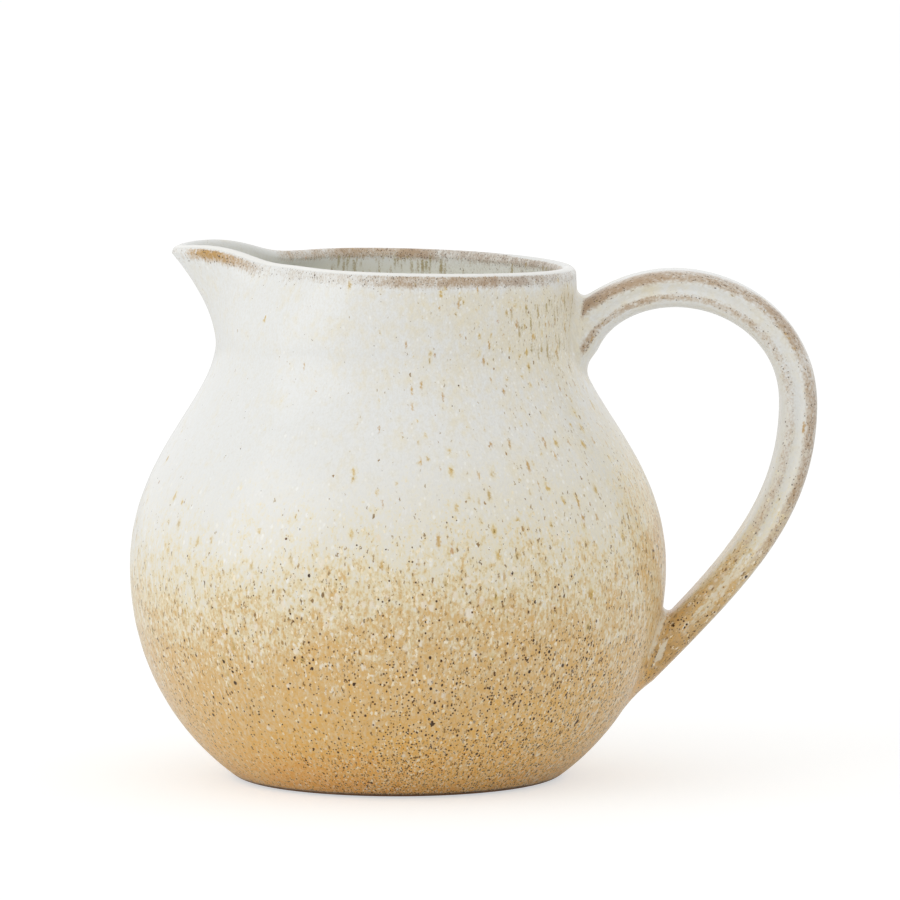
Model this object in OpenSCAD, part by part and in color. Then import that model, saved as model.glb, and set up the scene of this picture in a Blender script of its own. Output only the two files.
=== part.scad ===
// Milk jug: a thrown stoneware pot with a pulled spout and a strap handle luted on with slip,
// under fired coats of white, honey and liner glaze. The spout points to -X and the handle to +X.

/* [Pot] */
// Width of the flat ring that the pot stands on, to its outer edge
rest_d = 68; // [56:0.5:76]
// Rounding under the foot
foot_edge = 4.3; // [2:0.1:6]
// Slope of the wall as it leaves the foot, from level
foot_slope = 37; // [25:1:55]
// Width at the widest point of the belly
belly_d = 118; // [104:0.5:130]
// Height of the widest point
belly_z = 46.4; // [42:0.2:52]
// Width of the neck at its narrow point
neck_d = 79.7; // [70:0.1:88]
// Height of the neck's narrow point
neck_z = 96.7; // [93:0.1:100]
// Width of the rim outside
rim_d = 78.5; // [70:0.1:88]
// Height of the rim, without the spout's rise
height = 113.8; // [108:0.1:122]
// Thickness of the whole wall, coats included
wall = 3.6; // [3:0.1:5]
// Thickness of the floor above the table
floor_t = 6; // [4.5:0.1:9]
// Width of the hollow turned into the underside
hollow_d = 54; // [30:0.5:55]
// Depth of the hollow turned into the underside
hollow_h = 1.4; // [0.5:0.1:2]

/* [Spout] */
// How far the tip is pulled out past the rim
spout_reach = 10.5; // [4:0.1:14]
// How far the lips rise above the rim
spout_rise = 3.6; // [0:0.1:8]
// How far the very tip dips below the lips
tip_dip = 1.8; // [0:0.1:3]
// How far the rim leans: higher by this at the spout and lower by it at the handle
rim_lean = 0.8; // [0:0.1:1.5]
// How far down the neck the pull reaches
spout_h = 17.6; // [12:0.1:20]
// Half width of the pulled tongue, in degrees round the rim
spout_half = 17; // [14:0.5:24]
// Half width of the risen lips, in degrees round the rim
rise_half = 28; // [20:0.5:36]
// How far the rim is pinched in beside the spout
pinch = 5.6; // [0:0.1:7]
// Where the pinch lies, in degrees from the spout
pinch_at = 43; // [36:1:50]
// Half width of the pinch, in degrees round the rim
pinch_half = 23; // [16:0.5:28]

/* [Handle] */
// Width of the strap, across the fingers
strap_w = 16; // [12:0.5:20]
// Thickness of the strap
strap_t = 8.2; // [6:0.1:10]
// Depth of the groove along each edge of the strap
groove_h = 0.9; // [0:0.1:1.4]
// How far the strap stands out from the neck, to its outside
handle_span = 52.3; // [44:0.1:60]
// Height at which the strap stands out most
handle_z = 82.3; // [76:0.1:88]
// Height at which the middle of the strap leaves the neck
upper_root_z = 97; // [95:0.1:100]
// Climb of the strap as it leaves the neck, from level
upper_root_slope = 54; // [40:1:60]
// Height at which the middle of the strap meets the belly
lower_root_z = 23.5; // [19:0.1:26]
// Fall of the strap as it meets the belly, from level
lower_root_slope = 46; // [40:1:52]
// How much thicker the strap is at its upper root
root_swell = 5; // [2:0.1:7]
// How much wider the strap is at both roots
root_spread = 4; // [0:0.1:6]
// How quickly the roots run out into the strap
root_run = 4.2; // [2:0.1:6]
// Height of the web that fills the corner above the lower root
web_h = 2.4; // [0:0.1:4]

/* [Coats] */
// Thickness of a fired glaze coat
glaze_t = 0.4; // [0.3:0.05:0.6]
// Thickness of the slip under each root
slip_t = 0.5; // [0.35:0.05:0.8]
// Room between one layer and the next
layer_gap = 0.05; // [0.03:0.01:0.1]
// Height of the bare clay at the foot
bare_h = 2; // [1.5:0.1:3]
// Height at which the honey coat meets the white coat
honey_z = 41; // [39:0.2:50]
// How far the white coat runs down inside the rim
lip_run = 4; // [2:0.1:8]
// Share of the strap's length, from its tail, that carries the honey coat
tail_share = 0.24; // [0.18:0.01:0.35]

/* [Hidden] */
$fn = 120;

// Colours of the fired materials
clay_colour = [0.66, 0.5, 0.35];
slip_colour = [0.72, 0.58, 0.42];
white_colour = [0.91, 0.9, 0.86];
honey_colour = [0.8, 0.63, 0.38];
liner_colour = [0.86, 0.87, 0.84];

// Fullness of the curves between the named points, as shares of the rise between them
foot_pull = 0.082;
belly_pull_low = 0.635;
belly_pull_top = 0.495;
neck_pull = 0.27;
floor_flat = 0.62;
floor_pull = 0.4;
strap_pull_top = 0.49;
strap_pull_mid = 0.35;
strap_pull_low = 0.43;

// How square the risen lips are, and the half width of the dip at the tip in degrees
lip_square = 3.6;
dip_half = 6.5;

// How round the strap's edges and faces are, and how much rounder they get at its roots
edge_round = 0.5;
face_round = 0.6;
root_edge_round = 0.4;
root_face_round = 0.3;

// Share of the strap's half thickness that its groove takes up
groove_share = 0.32;

// Counts that set how finely the curves are drawn
foot_n = 4;
neck_n = 4;
curve_n = 16;
around_n = 60;
collar_n = 9;
lip_n = 7;
section_n = 32;
strap_n = 16;
tail_n = 4;
upper_n = 6;
lower_n = 9;

// How strongly points crowd: by degrees round the rim towards the spout, by a power along the strap
spout_crowd = 18;
root_crowd = 1.4;

// Profile points nearer than this to the end of a stretch are left out
short_step = 0.3;

// Depths of the layers, measured inwards from the glazed face
bare_depth = glaze_t + layer_gap;
rim_z = height - wall / 2;

// Points of the outside
foot_mid = [rest_d / 2, foot_edge];
foot_end = arc(foot_mid, foot_edge, foot_slope - 90);
foot_dir = [cos(foot_slope), sin(foot_slope)];
belly = [belly_d / 2, belly_z];
neck = [neck_d / 2, neck_z];
rim = [rim_d / 2, rim_z];
belly_rise = belly_z - foot_end[1];
neck_rise = neck_z - belly_z;

// Point of a cubic curve with two end points and two pull points
function cubic(a, b, c, d, t) =
    a * pow(1 - t, 3) + b * 3 * pow(1 - t, 2) * t + c * 3 * (1 - t) * t * t + d * pow(t, 3);

// Direction of the same curve
function cubic_dir(a, b, c, d, t) =
    unit((b - a) * pow(1 - t, 2) + (c - b) * 2 * (1 - t) * t + (d - c) * t * t);

function unit(v) = v / norm(v);

// Point of a circle at an angle
function arc(middle, radius, angle) = middle + radius * [cos(angle), sin(angle)];

function clamp01(t) = max(0, min(1, t));

// Outside of the glaze as radius and height, from the table to the rim
outside = concat(
    [for (i = [0:foot_n]) arc(foot_mid, foot_edge, foot_slope * i / foot_n - 90)],
    [for (i = [1:curve_n]) cubic(foot_end, foot_end + foot_dir * foot_pull * belly_rise,
        belly - [0, belly_pull_low * belly_rise], belly, i / curve_n)],
    [for (i = [1:curve_n]) cubic(belly, belly + [0, belly_pull_top * neck_rise],
        neck - [0, neck_pull * neck_rise], neck, i / curve_n)],
    [for (i = [1:neck_n]) neck + (rim - neck) * i / neck_n]
);

// Outward normal of a profile at its point i
function normal_at(line, i) =
    let (step = line[min(i + 1, len(line) - 1)] - line[max(i - 1, 0)])
    unit([step[1], -step[0]]);

// A profile moved inwards by depth, towards the clay's middle for an outside
function inset(line, depth) = [for (i = [0:len(line) - 1]) line[i] - depth * normal_at(line, i)];

// Inside of the liner, from the middle of the floor to the rim
belly_in = belly - [wall, 0];
floor_end = [floor_flat * rest_d / 2, floor_t];
floor_rise = belly_z - floor_t;
inside_top = [for (p = inset(outside, wall)) if (p[1] > belly_z + short_step) p];
inside = concat(
    [[0, floor_t]],
    [for (i = [0:curve_n]) cubic(floor_end, floor_end + [floor_pull * floor_rise, 0],
        belly_in - [0, belly_pull_low * floor_rise], belly_in, i / curve_n)],
    inside_top
);

// The inside moved by depth into the clay, with a level floor
function lining(depth) = concat(
    [[0, floor_t - depth]],
    [for (i = [1:len(inside) - 1]) inside[i] + depth * normal_at(inside, i)]
);

// Radius of a profile at height z, over the stretch where it only rises
function radius_at(line, z) = lookup(z, [for (p = line) [p[1], p[0]]]);

// The stretch of a profile between two heights
function stretch(line, z0, z1) = concat(
    [[radius_at(line, z0), z0]],
    [for (p = line) if (p[1] > z0 + short_step && p[1] < z1 - short_step) p],
    [[radius_at(line, z1), z1]]
);

// Above this height the wall is drawn ring by ring, because the spout is not round
collar_run = 7;
collar_z = rim_z - spout_h - collar_run;

// Tongue that keys the two together: its height, how far its shoulders lie in from the faces and
// below the join, and the share that it tapers on each side
tongue_h = 1;
tongue_in = 0.03;
tongue_drop = 0.05;
tongue_taper = 0.35;

function reversed(list) = [for (i = [len(list) - 1:-1:0]) list[i]];

// The rising part of the lining at a depth
function bore(depth) = [for (p = lining(depth)) if (p[1] > belly_z) p];

// Angles round the rim, closer together at the spout
function ring_angle(i) =
    let (a = 360 * i / around_n)
    a - spout_crowd * sin(a);

// Pull of the spout at an angle from its middle, outwards, and upwards with the lean of the rim
function from_spout(angle) = angle > 180 ? 360 - angle : angle;

function pull_out(angle) =
    let (a = from_spout(angle))
    spout_reach * exp(-pow(a / spout_half, 2)) - pinch * exp(-pow((a - pinch_at) / pinch_half, 2));

function pull_up(angle) =
    let (a = from_spout(angle))
    let (lean = rim_lean * cos(a))
    lean + spout_rise * exp(-pow(a / rise_half, lip_square)) - tip_dip * exp(-pow(a / dip_half, 2));

// A profile point at an angle from the spout, pulled with the spout
function pulled(p, angle) =
    let (share = pow(clamp01((p[1] - rim_z + spout_h) / spout_h), 2))
    let (r = p[0] + pull_out(angle) * share)
    [-r * cos(angle), -r * sin(angle), p[1] + pull_up(angle) * share];

// Faces of a surface that closes on itself both ways
function ring_faces(rows, columns) = [
    for (i = [0:rows - 1], j = [0:columns - 1])
    let (a = i * columns + j)
    let (b = (i + 1) % rows * columns + j)
    let (c = (i + 1) % rows * columns + (j + 1) % columns)
    let (d = i * columns + (j + 1) % columns)
    each [[a, b, c], [a, c, d]]
];

// A closed loop of profile points swept round the pot, with the spout pulled out of it
module collar(loop) {
    points = [for (p = loop, i = [0:around_n - 1]) pulled(p, ring_angle(i))];
    polyhedron(points, ring_faces(len(loop), around_n), convexity = 6);
}

// Heights of the collar's rings
collar_low = collar_z + tongue_drop;
collar_rings = [for (i = [0:collar_n]) collar_low + (rim_z - collar_low) * i / collar_n];

// Rings of a profile through the collar, up to a height
function collar_side(line, top) = [for (z = collar_rings) if (z < top - short_step) [radius_at(line, z), z]];

// Round of the lip at a depth, from one angle to another, with both its ends
function lip(depth, a0, a1) = [
    for (i = [0:lip_n])
    let (a = a0 + (a1 - a0) * i / lip_n)
    arc([rim[0] - wall / 2, rim_z], wall / 2 - depth, a)
];

// Tongue that keys the collar into the round wall below it, between an outer and an inner profile
function tongue(outer, inner) =
    let (z = collar_z - tongue_h)
    let (top = collar_z - tongue_drop)
    let (ro = radius_at(outer, z))
    let (ri = radius_at(inner, z))
    [
        [radius_at(inner, top) + tongue_in, top],
        [ri + tongue_taper * (ro - ri), z],
        [ro - tongue_taper * (ro - ri), z],
        [radius_at(outer, top) - tongue_in, top]
    ];

// Profiles of the layers
outside_bare = inset(outside, bare_depth);
outside_back = inset(outside, glaze_t);
bore_face = bore(0);
bore_back = bore(glaze_t);
bore_bare = bore(bare_depth);
liner_top = rim_z - lip_run;

// Clay of the pot
module pot() {
    foot = [for (p = outside) if (p[1] < bare_h - short_step) p];
    wall_loop = concat(
        [[0, hollow_h], [hollow_d / 2 - hollow_h, hollow_h], [hollow_d / 2, 0]],
        foot,
        [[radius_at(outside, bare_h), bare_h]],
        stretch(outside_bare, bare_h, collar_z),
        [[radius_at(bore_bare, collar_z), collar_z]],
        reversed([for (p = lining(bare_depth)) if (p[1] < collar_z - short_step) p])
    );
    collar_loop = concat(
        tongue(outside_bare, bore_bare),
        collar_side(outside_bare, rim_z),
        lip(bare_depth, 0, 180),
        reversed(collar_side(bore_bare, rim_z))
    );
    color(clay_colour) union() {
        rotate_extrude() polygon(wall_loop);
        collar(collar_loop);
    }
}

// White coat outside, over the lip and a little way in
module white_glaze() {
    round_loop = concat(
        stretch(outside, honey_z + layer_gap, collar_z),
        reversed(stretch(outside_back, honey_z + layer_gap, collar_z))
    );
    inner_end = [[radius_at(bore_face, liner_top), liner_top], [radius_at(bore_back, liner_top), liner_top]];
    collar_loop = concat(
        tongue(outside, outside_back),
        collar_side(outside, rim_z),
        lip(0, 0, 180),
        inner_end,
        lip(glaze_t, 180, 0),
        reversed(collar_side(outside_back, rim_z))
    );
    color(white_colour) difference() {
        union() {
            rotate_extrude() polygon(round_loop);
            collar(collar_loop);
        }
        strap(glaze_t - layer_gap, upper_from, upper_to);
    }
}

// Honey coat outside, down to the bare foot
module honey_glaze() {
    loop = concat(
        stretch(outside, bare_h + layer_gap, honey_z),
        reversed(stretch(outside_back, bare_h + layer_gap, honey_z))
    );
    color(honey_colour) difference() {
        rotate_extrude() polygon(loop);
        strap(glaze_t - layer_gap, lower_from, lower_to);
    }
}

// Liner coat, from the middle of the floor to just under the rim
module liner_glaze() {
    round_loop = concat(
        [for (p = lining(glaze_t)) if (p[1] < collar_z - short_step) p],
        [[radius_at(bore_back, collar_z), collar_z], [radius_at(bore_face, collar_z), collar_z]],
        reversed([for (p = inside) if (p[1] < collar_z - short_step) p])
    );
    liner_end = liner_top - layer_gap;
    collar_loop = concat(
        tongue(bore_back, bore_face),
        collar_side(bore_back, liner_end),
        [[radius_at(bore_back, liner_end), liner_end], [radius_at(bore_face, liner_end), liner_end]],
        reversed(collar_side(bore_face, liner_end))
    );
    color(liner_colour) union() {
        rotate_extrude() polygon(round_loop);
        collar(collar_loop);
    }
}

// Course of the strap's middle line: neck to outermost point to belly, and then into the belly
root_sink = 1;
upper_start = [radius_at(outside, upper_root_z) - root_sink / 2, upper_root_z];
upper_dir = [cos(upper_root_slope), sin(upper_root_slope)];
outermost = [neck_d / 2 + handle_span - strap_t / 2, handle_z];
lower_end = [radius_at(outside, lower_root_z) - root_sink, lower_root_z];
lower_dir = [-cos(lower_root_slope), -sin(lower_root_slope)];
chord_top = norm(outermost - upper_start);
chord_low = norm(lower_end - outermost);
root_in = 9;
root_fall = 2.6;
curl = 4;

top_curve = [
    upper_start,
    upper_start + upper_dir * strap_pull_top * chord_top,
    outermost + [0, strap_pull_top * chord_top],
    outermost
];
low_curve = [
    outermost,
    outermost - [0, strap_pull_mid * chord_low],
    lower_end - lower_dir * strap_pull_low * chord_low,
    lower_end
];
tail_curve = [
    lower_end,
    lower_end + lower_dir * curl,
    lower_end + [curl - root_in, -root_fall],
    lower_end + [-root_in, -root_fall]
];

// Stations along a curve of the strap, each with its place and direction, crowded towards its start
function stations(curve, from, n, crowd) = [
    for (i = [from:n])
    let (t = pow(i / n, crowd))
    [cubic(curve[0], curve[1], curve[2], curve[3], t), cubic_dir(curve[0], curve[1], curve[2], curve[3], t)]
];

course = concat(
    [[upper_start - upper_dir * root_in, upper_dir]],
    stations(top_curve, 0, strap_n, root_crowd),
    stations(low_curve, 1, strap_n, 1),
    stations(tail_curve, 1, tail_n, 1)
);
last = len(course) - 1;
upper_from = 0;
upper_to = upper_n;
lower_from = last - lower_n;
lower_to = last;
tail_from = last - tail_n - floor(tail_share * 2 * strap_n);

// How far a root has run out at a place: 1 at the root and 0 along the strap
function at_root(p, root, run) = exp(-norm(p - root) / run);

// Strap's section at station k, inset by depth, as width and thickness offsets
function section(k, depth) =
    let (p = course[k][0])
    let (swell = k == 0 ? 1 : at_root(p, upper_start, root_run))
    let (press = k > last - tail_n ? 1 : at_root(p, lower_end, 2 * root_run))
    let (spread = max(swell, press))
    let (w = (strap_w + root_spread * spread) / 2 - depth)
    let (t = (strap_t + root_swell * swell) / 2 - depth)
    [
        for (i = [0:section_n - 1])
        let (a = 360 * (i + 0.5) / section_n)
        let (out = t * sign(sin(a)) * pow(abs(sin(a)), face_round + root_face_round * spread))
        let (dent = groove_h * exp(-pow(out / (groove_share * t), 2)) * (1 - spread))
        let (web = out < 0 ? web_h * press * out / t : 0)
        [sign(cos(a)) * (w * pow(abs(cos(a)), edge_round + root_edge_round * spread) - dent), out + web]
    ];

// Ring of the strap at station k, inset by depth
function ring(k, depth) =
    let (p = course[k][0])
    let (d = course[k][1])
    [for (s = section(k, depth)) [p[0] - d[1] * s[1], s[0], p[1] + d[0] * s[1]]];

// Solid strap between two stations
module strap(depth, from, to) {
    rows = to - from + 1;
    points = [for (k = [from:to]) each ring(k, depth)];
    sides = [
        for (i = [0:rows - 2], j = [0:section_n - 1])
        let (a = i * section_n + j)
        let (b = a + section_n)
        let (c = (i + 1) * section_n + (j + 1) % section_n)
        let (d = i * section_n + (j + 1) % section_n)
        each [[a, b, c], [a, c, d]]
    ];
    start = [for (j = [1:section_n - 2]) [0, j, j + 1]];
    end_at = (rows - 1) * section_n;
    end = [for (j = [1:section_n - 2]) [end_at, end_at + j + 1, end_at + j]];
    polyhedron(points, concat(sides, start, end), convexity = 6);
}

// Coat on the strap between two stations
module strap_coat(from, to) {
    rings = concat([for (k = [from:to]) ring(k, 0)], [for (k = [to:-1:from]) ring(k, glaze_t)]);
    polyhedron([for (r = rings) each r], ring_faces(len(rings), section_n), convexity = 6);
}

// Round solid inside a profile, to trim what stands on the pot
module trim(line) {
    rotate_extrude() polygon(concat([[0, bare_h]], stretch(line, bare_h, rim_z), [[0, rim_z]]));
}

// Clay strap, ending on the slip at both roots
module handle() {
    color(clay_colour) difference() {
        strap(bare_depth, 0, last);
        trim(inset(outside, bare_depth - slip_t - layer_gap));
    }
}

// Slip between a root of the strap and the pot
module slip(from, to) {
    color(slip_colour) difference() {
        intersection() {
            strap(bare_depth, from, to);
            trim(inset(outside, bare_depth - slip_t));
        }
        trim(inset(outside, bare_depth - layer_gap));
    }
}

module upper_slip() {
    slip(upper_from, upper_to);
}

module lower_slip() {
    slip(lower_from, lower_to);
}

// White coat on the strap, from the neck down to its tail
module handle_white_glaze() {
    color(white_colour) difference() {
        strap_coat(0, tail_from);
        trim(inset(outside, -layer_gap));
    }
}

// Honey coat on the strap's tail
module handle_honey_glaze() {
    color(honey_colour) difference() {
        strap_coat(tail_from, last);
        trim(inset(outside, -layer_gap));
    }
}

pot();
handle();
upper_slip();
lower_slip();
white_glaze();
honey_glaze();
liner_glaze();
handle_white_glaze();
handle_honey_glaze();
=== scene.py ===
import bpy
import numpy as np
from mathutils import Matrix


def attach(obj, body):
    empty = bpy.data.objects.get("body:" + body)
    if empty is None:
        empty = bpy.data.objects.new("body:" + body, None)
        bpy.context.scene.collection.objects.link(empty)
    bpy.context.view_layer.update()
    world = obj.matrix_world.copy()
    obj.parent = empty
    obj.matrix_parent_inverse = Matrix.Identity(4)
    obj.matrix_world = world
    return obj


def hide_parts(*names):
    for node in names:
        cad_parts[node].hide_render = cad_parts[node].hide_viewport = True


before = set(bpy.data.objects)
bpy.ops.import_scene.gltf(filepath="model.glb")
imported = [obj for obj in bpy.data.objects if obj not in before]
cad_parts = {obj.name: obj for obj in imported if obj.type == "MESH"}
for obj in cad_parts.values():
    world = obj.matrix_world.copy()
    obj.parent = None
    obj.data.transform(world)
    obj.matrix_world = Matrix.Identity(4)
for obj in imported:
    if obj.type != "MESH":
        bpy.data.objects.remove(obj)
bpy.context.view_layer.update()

MM = 0.001

# Sizes of the pot in millimetres, as in the part's source
WALL = 3.6
GLAZE = 0.4
CLAY_DEPTH = 0.45
FOOT_R = 34.0
FOOT_EDGE = 4.3
FOOT_SLOPE = np.radians(37)
BELLY = np.array([59.0, 46.4])
NECK = np.array([39.85, 96.7])
RIM = np.array([39.25, 112.0])
FLOOR_Z = 6.0
FLOOR_FLAT = 21.08
HOLLOW_R = 27.0
HOLLOW_H = 1.4
LIP_RUN = 4.0

# Sizes of the spout in millimetres, and in degrees round the rim, as in the part's source
SPOUT_REACH = 10.5
SPOUT_RISE = 3.6
SPOUT_H = 17.6
SPOUT_HALF = 17.0
PINCH = 5.6
PINCH_AT = 43.0
PINCH_HALF = 23.0
RIM_LEAN = 0.8

# Sizes of the strap in millimetres, as in the part's source
STRAP_W = 16.0
STRAP_T = 8.2
GROOVE = 0.9
HANDLE_SPAN = 52.3
HANDLE_Z = 82.3
UPPER_Z = 97.0
UPPER_SLOPE = np.radians(54)
LOWER_Z = 23.5
LOWER_SLOPE = np.radians(46)
ROOT_SWELL = 5.0
ROOT_SPREAD = 4.0
ROOT_RUN = 4.2

# Fullness of the curves and roundness of the strap, as in the part's source
FOOT_PULL = 0.082
BELLY_PULL_LOW = 0.635
BELLY_PULL_TOP = 0.495
NECK_PULL = 0.27
FLOOR_PULL = 0.4
STRAP_PULL_TOP = 0.49
STRAP_PULL_MID = 0.35
STRAP_PULL_LOW = 0.43
EDGE_ROUND = 0.5
FACE_ROUND = 0.6
ROOT_EDGE_ROUND = 0.4
ROOT_FACE_ROUND = 0.3
GROOVE_SHARE = 0.32

# Sizes that follow the photograph more closely than the part's source does
GLAZE_FOOT_Z = 0.55
TIP_DIP = 1.0
DIP_HALF = 10.5
RISE_HALF = 26.0
LIP_SQUARE = 3.8
BACK_DROP = 0.45
BACK_HALF = 55.0
FLARE_ROUND = 3.0
FLARE_RUN = 3.5
UNDERCUT = 1.2
WEB = 0.8
TAIL_TAPER = 0.8

# Ends of the strap in the wall, and the fillets of glaze that run from it onto the pot, in millimetres
STRAP_IN = 16.0
END_RUN = 3.0
UPPER_SUNK = 0.5
LOWER_SUNK = 1.0
TAIL_FALL = 2.6
TAIL_IN = 9.0
TAIL_CURL = 4.0
FILLET = 2.6
UPPER_FILLET = 2.2
LOWER_FILLET = 3.6
CORNER_FILLET = 1.4
FILLET_SUNK = 0.03
SKIRT_SUNK = 0.8
CORE_SUNK = 1.6
LIP_CLEAR = 1.4

# Waves of the thrown wall: millimetres, count round the pot, millimetres of height to a radian, and start
WAVES = ((0.05, 2, 21.0, 0.0), (0.04, 3, -15.0, 1.0), (0.03, 5, 11.0, 0.0))
RING = 0.012
RING_STEP = 6.5
FOOT_TRUE = 12.0
FLOOR_TRUE = 25.0

# Counts that set how finely the surfaces are drawn, and short steps for slopes, in millimetres
TURNS = 288
INSIDE_ROWS = 150
LIP_ROWS = 26
OUTSIDE_ROWS = 190
BACK_STEP = 9
STRAP_TURNS = 112
STRAP_ROWS = 240
FILLET_ROWS = 12
WALL_STEP = 0.2
COURSE_STEP = 0.4
ROOT_STEP = 0.5


# Shapes
def cubic(a, b, c, d, t):
    """Points of a cubic curve from a to d with the pulls b and c, weighted by the terms of ((1 - t) + t)
    cubed."""
    t = np.asarray(t, float)[..., None]
    return a * (1 - t) ** 3 + b * 3 * (1 - t) ** 2 * t + c * 3 * (1 - t) * t ** 2 + d * t ** 3


def lengths(line):
    """Length of a line from its start to each of its points: the running sum of its steps."""
    return np.concatenate([[0.0], np.cumsum(np.linalg.norm(np.diff(line, axis=0), axis=1))])


def spaced(line, count):
    """The same line as a number of points at even steps of its length."""
    s = lengths(line)
    at = np.linspace(0.0, s[-1], count)
    return np.stack([np.interp(at, s, line[:, k]) for k in range(line.shape[1])], 1)


def offset(line, depth):
    """A line in radius and height moved by depth to the right of its own run, along its normals."""
    step = np.gradient(line, axis=0)
    step /= np.linalg.norm(step, axis=1)[:, None]
    return line + depth * np.stack([step[:, 1], -step[:, 0]], 1)


def ease(value, low, high):
    """Smooth step of a value, 0 at low and 1 at high: 3 t squared less 2 t cubed."""
    t = np.clip((value - low) / (high - low), 0.0, 1.0)
    return t * t * (3 - 2 * t)


def band(value, start, full, last, gone):
    """Smooth band of a value: 0 up to start, 1 from full to last, and 0 from gone on, as two smooth steps."""
    return ease(value, start, full) * ease(value, gone, last)


def bell(value, middle, half, square=2):
    """Bell curve of a value: e to the power of minus its distance from the middle over the half width,
    squared. A higher power than two gives it square shoulders."""
    return np.exp(-(np.abs(value - middle) / half) ** square)


def outside_line():
    """Outside of the glaze from the table up: a foot arc, a cubic to the belly, one to the neck, a
    straight rim."""
    foot_middle = np.array([FOOT_R, FOOT_EDGE])
    foot_end = foot_middle + FOOT_EDGE * np.array([np.sin(FOOT_SLOPE), -np.cos(FOOT_SLOPE)])
    leaving = np.array([np.cos(FOOT_SLOPE), np.sin(FOOT_SLOPE)])
    rise = BELLY[1] - foot_end[1]
    top = NECK[1] - BELLY[1]
    turn = np.linspace(0, FOOT_SLOPE, 24)[:, None]
    arc = foot_middle + FOOT_EDGE * np.hstack([np.sin(turn), -np.cos(turn)])
    t = np.linspace(0, 1, 240)[1:]
    low = cubic(foot_end, foot_end + leaving * FOOT_PULL * rise, BELLY - [0, BELLY_PULL_LOW * rise], BELLY, t)
    high = cubic(BELLY, BELLY + [0, BELLY_PULL_TOP * top], NECK - [0, NECK_PULL * top], NECK, t)
    return np.vstack([arc, low, high, NECK + (RIM - NECK) * t[:, None]])


def inside_line():
    """Inside of the liner from the middle of the floor up: a flat, a cubic to the belly, then the wall's
    inside."""
    inner = BELLY - [WALL, 0]
    rise = BELLY[1] - FLOOR_Z
    corner = np.array([FLOOR_FLAT, FLOOR_Z])
    flat = np.linspace([0.0, FLOOR_Z], corner, 60)[:-1]
    t = np.linspace(0, 1, 240)
    bowl = cubic(corner, corner + [FLOOR_PULL * rise, 0], inner - [0, BELLY_PULL_LOW * rise], inner, t)
    upper = offset(OUTSIDE, -WALL)
    return np.vstack([flat, bowl, upper[upper[:, 1] > BELLY[1] + 0.3]])


def lip_line(depth):
    """Half circle over the rim at a depth below the glaze, from the inside to the outside."""
    a = np.linspace(np.pi, 0, 48)[:, None]
    return RIM - [WALL / 2, 0] + (WALL / 2 - depth) * np.hstack([np.cos(a), np.sin(a)])


def unevenness(z, turn):
    """Millimetres by which a thrown wall strays from round: slow waves round and up it, and a faint
    spiral ring."""
    slow = sum(size * np.sin(count * turn + z / climb + start) for size, count, climb, start in WAVES)
    return (slow + RING * np.sin(2 * np.pi * z / RING_STEP + turn)) * ease(z, 0.0, FOOT_TRUE)


def pot_surface(r, z, turn):
    """Points of the pot at radius r, height z and an angle from the spout. The spout is a bell curve out
    less a bell curve in beside it, and a square-shouldered bell curve up less a narrow dip, with a lean
    and a bell curve down at the handle, all growing as the square of the height."""
    a = np.degrees(np.abs((turn + np.pi) % (2 * np.pi) - np.pi))
    share = np.clip((z - RIM[1] + SPOUT_H) / SPOUT_H, 0, 1) ** 2
    out = SPOUT_REACH * bell(a, 0, SPOUT_HALF) - PINCH * bell(a, PINCH_AT, PINCH_HALF)
    up = SPOUT_RISE * bell(a, 0, RISE_HALF, LIP_SQUARE) - TIP_DIP * bell(a, 0, DIP_HALF)
    up = up + RIM_LEAN * np.cos(turn) - BACK_DROP * bell(a, 180, BACK_HALF)
    r = r + out * share + unevenness(z, turn) * ease(r, 0.0, FLOOR_TRUE)
    return np.stack([-r * np.cos(turn), -r * np.sin(turn), z + up * share], -1)


OUTSIDE = outside_line()
INSIDE = inside_line()
AROUND = np.linspace(0, 2 * np.pi, TURNS, endpoint=False)[None, :]


def even_radius(z):
    """Radius of the glazed outside at a height, without the unevenness of the wall."""
    return np.interp(z, OUTSIDE[:, 1], OUTSIDE[:, 0])


def wall_slope(z):
    """Growth of that radius with height, from the points a short step above and below."""
    return (even_radius(z + WALL_STEP) - even_radius(z - WALL_STEP)) / (2 * WALL_STEP)


def pot_radius(z, turn):
    """Radius of the glazed outside at a height and an angle from the spout, below the pull of the spout."""
    return even_radius(z) + unevenness(z, turn)


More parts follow.
